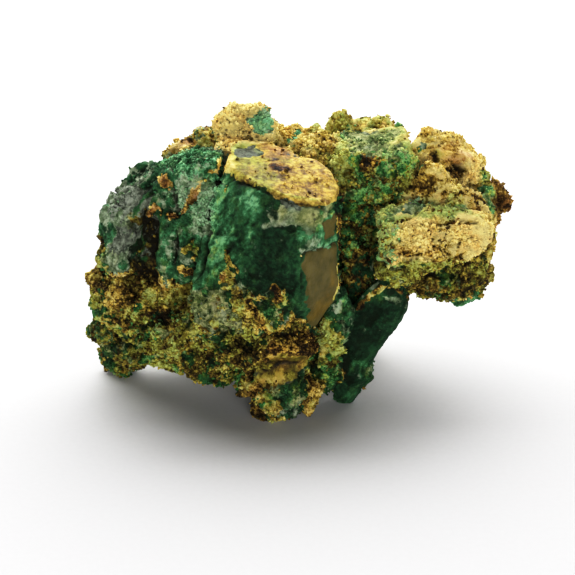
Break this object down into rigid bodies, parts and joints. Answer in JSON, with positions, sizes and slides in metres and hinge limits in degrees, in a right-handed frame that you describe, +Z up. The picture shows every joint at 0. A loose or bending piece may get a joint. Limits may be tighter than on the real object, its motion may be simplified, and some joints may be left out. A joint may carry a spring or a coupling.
{
  "type": "mineral specimen",
  "caption": "Cluster of stout tabular bournonite crystals grown together, coated in green and ochre weathering crusts, resting on its own knobs.",
  "frame": {"origin": "on the surface that the specimen rests on, under the middle of its bounding box", "axes": "+X runs along the cluster towards the overhanging end, +Y away from the face of the main crystal, +Z up"},
  "size_m": [0.0426, 0.0268, 0.0287],
  "materials": {
    "crusted_bournonite": "rough, granular, matt"
  },
  "bodies": {
    "root": {"bournonite_specimen": "crusted_bournonite"}
  },
  "joints": []
}
